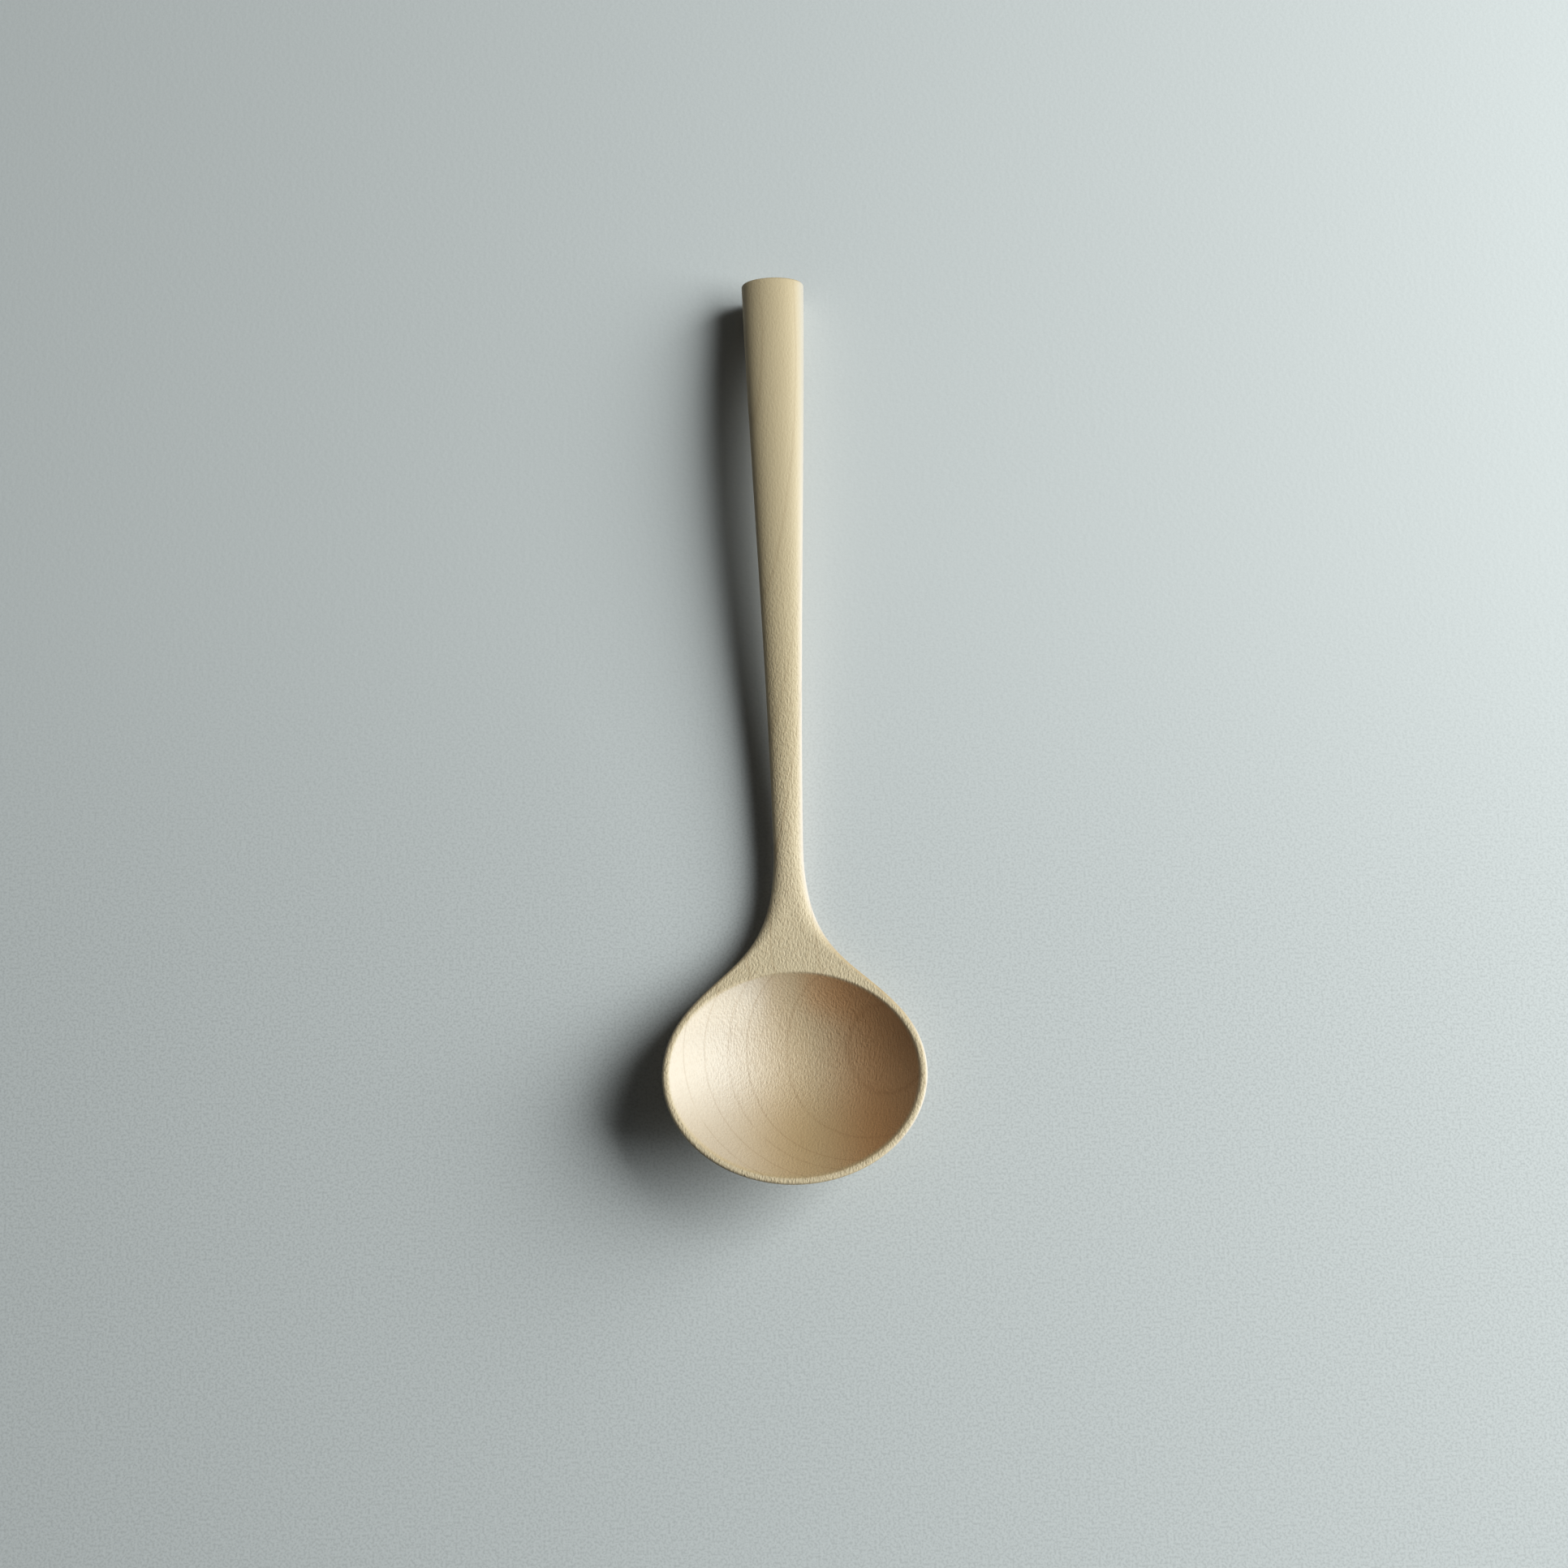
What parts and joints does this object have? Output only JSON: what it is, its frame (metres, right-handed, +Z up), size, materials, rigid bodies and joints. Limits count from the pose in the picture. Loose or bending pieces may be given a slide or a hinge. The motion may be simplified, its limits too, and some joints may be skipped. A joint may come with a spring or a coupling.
{
  "type": "eating spoon",
  "caption": "Carved maple eating spoon with an oval dished bowl, a flat neck web and a slim arched handle that widens to a square-cut end.",
  "frame": {"origin": "on the table under the middle of the spoon's box, as it lies bowl up", "axes": "+Y along the spoon towards the end of the handle, +Z up out of the bowl, +X across the bowl"},
  "size_m": [0.0454, 0.165, 0.0174],
  "materials": {
    "maple": "clear satin oil over fine sanding"
  },
  "bodies": {
    "root": {"spoon": "maple"}
  },
  "joints": []
}
